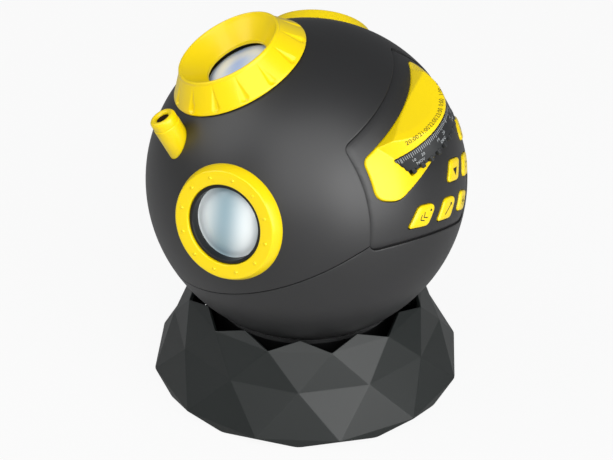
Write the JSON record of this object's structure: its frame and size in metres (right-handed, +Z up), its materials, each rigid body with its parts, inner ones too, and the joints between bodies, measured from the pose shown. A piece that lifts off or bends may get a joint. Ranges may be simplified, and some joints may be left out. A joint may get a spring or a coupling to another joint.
{
  "type": "planetarium projector",
  "caption": "Home star projector: a tilting ball with a focusing star lens, date dial, touch keys, glow ports and a meteor tube, resting in a faceted crown-shaped base.",
  "frame": {"origin": "on the floor, in the middle of the base's rubber feet, directly under the ball's centre", "axes": "+Z up; -Y towards the viewer of the picture; +X to the viewer's right; the keys face +X and the star lens leans towards -X"},
  "size_m": [0.167, 0.1699, 0.2061],
  "materials": {
    "base_grey": "fine matt moulded plastic",
    "ball_grey": "soft-touch matt plastic",
    "panel_grey": "soft-touch matt plastic",
    "trim_yellow": "glossy moulded plastic",
    "dial_grey": "satin plastic with printed marks",
    "black_plastic": "plain black moulded plastic",
    "inner_grey": "plain moulded plastic",
    "pinion_white": "natural acetal plastic",
    "pad_black": "soft rubber",
    "seat_felt": "thin felt pad",
    "lens_clear": "polished clear lens",
    "lens_frosted": "frosted white lens",
    "screw_steel": "zinc-plated steel",
    "motor_steel": "plain steel can",
    "sink_aluminium": "bare extruded aluminium",
    "cell_jacket": "plain printed foil jacket",
    "contact_metal": "nickel-plated spring steel",
    "board_green": "circuit board with solder mask",
    "lamp_white": "white lamp board with emitters",
    "dome_metal": "small switch plungers",
    "film_black": "photographic film disc"
  },
  "bodies": {
    "base": {"base_crown": "base_grey", "base_rim": "base_grey", "base_bosses": "base_grey", "base_plate": "black_plastic", "base_feet": "pad_black", "base_screws": "screw_steel", "seat_clip": "inner_grey"},
    "seat": {"seat_ring": "black_plastic", "seat_pad": "seat_felt"},
    "globe": {"upper_shell": "ball_grey", "lower_shell": "ball_grey", "shell_screws": "screw_steel", "control_panel": "panel_grey", "dial_fascia": "trim_yellow", "dial_axle": "screw_steel", "chassis": "inner_grey", "deck_screws": "screw_steel", "control_board": "board_green", "key_board": "board_green", "key_domes": "dome_metal", "key_screws": "screw_steel", "barrel_guide": "inner_grey", "guide_screws": "screw_steel", "lamp_housing": "black_plastic", "lamp_board": "lamp_white", "condenser_lens": "lens_clear", "heat_sink": "sink_aluminium", "motor": "motor_steel", "left_bezel": "trim_yellow", "right_bezel": "trim_yellow", "left_port_barrel": "black_plastic", "right_port_barrel": "black_plastic", "left_port_lens": "lens_frosted", "right_port_lens": "lens_frosted", "left_port_lamp": "lamp_white", "right_port_lamp": "lamp_white", "meteor_tube": "trim_yellow", "meteor_lens": "lens_clear", "meteor_lamp": "lamp_white", "battery_box": "black_plastic", "battery_cells": "cell_jacket", "battery_contacts": "contact_metal", "battery_door": "ball_grey", "door_screw": "screw_steel"},
    "focus": {"focus_ring": "trim_yellow"},
    "barrel": {"lens_barrel": "black_plastic", "front_lens": "lens_clear", "rear_lens": "lens_clear", "lens_retainer": "black_plastic"},
    "disc": {"disc_carrier": "black_plastic", "star_disc": "film_black", "disc_clip": "inner_grey"},
    "dial": {"date_dial": "dial_grey"},
    "pinion": {"motor_pinion": "pinion_white"},
    "key_rewind_cap": {"key_rewind": "trim_yellow"},
    "key_meteor_cap": {"key_meteor": "trim_yellow"},
    "key_glow_cap": {"key_glow": "trim_yellow"},
    "key_sky_cap": {"key_sky": "trim_yellow"},
    "key_forward_cap": {"key_forward": "trim_yellow"},
    "key_play_cap": {"key_play": "trim_yellow"}
  },
  "joints": [
    {"name": "seat_swivel", "type": "hinge", "parent": "base", "child": "seat", "pos_m": [0, 0, 0.005], "axis": [0, 0, 1], "continuous": true},
    {"name": "globe_tilt", "type": "hinge", "parent": "seat", "child": "globe", "pos_m": [0, 0, 0.114], "axis": [0.1899, -0.9818, 0], "range_deg": [-40, 18]},
    {"name": "focus_turn", "type": "hinge", "parent": "globe", "child": "focus", "pos_m": [-0.03506, -0.00678, 0.18559], "axis": [-0.4382, -0.0848, 0.8949], "range_deg": [-60, 60]},
    {"name": "barrel_slide", "type": "slide", "parent": "globe", "child": "barrel", "axis": [-0.4382, -0.0848, 0.8949], "range_m": [-0.002, 0.002]},
    {"name": "disc_spin", "type": "hinge", "parent": "globe", "child": "disc", "pos_m": [-0.00613, -0.00119, 0.12653], "axis": [-0.4382, -0.0848, 0.8949], "continuous": true},
    {"name": "dial_turn", "type": "hinge", "parent": "globe", "child": "dial", "pos_m": [0.04527, -0.02468, 0.14947], "axis": [-0.4382, -0.0848, 0.8949], "continuous": true},
    {"name": "pinion_spin", "type": "hinge", "parent": "globe", "child": "pinion", "pos_m": [-0.0404, 0.01448, 0.11123], "axis": [-0.4382, -0.0848, 0.8949], "continuous": true},
    {"name": "press_rewind", "type": "slide", "parent": "globe", "child": "key_rewind_cap", "axis": [-0.9154, 0.3592, -0.1819], "range_m": [0, 0.001], "stiffness_N_per_m": 300},
    {"name": "press_meteor", "type": "slide", "parent": "globe", "child": "key_meteor_cap", "axis": [-0.9154, 0.3592, -0.1819], "range_m": [0, 0.001], "stiffness_N_per_m": 300},
    {"name": "press_glow", "type": "slide", "parent": "globe", "child": "key_glow_cap", "axis": [-0.9154, 0.3592, -0.1819], "range_m": [0, 0.001], "stiffness_N_per_m": 300},
    {"name": "press_sky", "type": "slide", "parent": "globe", "child": "key_sky_cap", "axis": [-0.9154, 0.3592, -0.1819], "range_m": [0, 0.001], "stiffness_N_per_m": 300},
    {"name": "press_forward", "type": "slide", "parent": "globe", "child": "key_forward_cap", "axis": [-0.9154, 0.3592, -0.1819], "range_m": [0, 0.001], "stiffness_N_per_m": 300},
    {"name": "press_play", "type": "slide", "parent": "globe", "child": "key_play_cap", "axis": [-0.9154, 0.3592, -0.1819], "range_m": [0, 0.001], "stiffness_N_per_m": 300}
  ],
  "couplings": [
    {"joint": "barrel_slide", "follows": "focus_turn", "m_per_rad": 0.0019},
    {"joint": "dial_turn", "follows": "disc_spin", "ratio": -1},
    {"joint": "pinion_spin", "follows": "disc_spin", "ratio": -3}
  ]
}
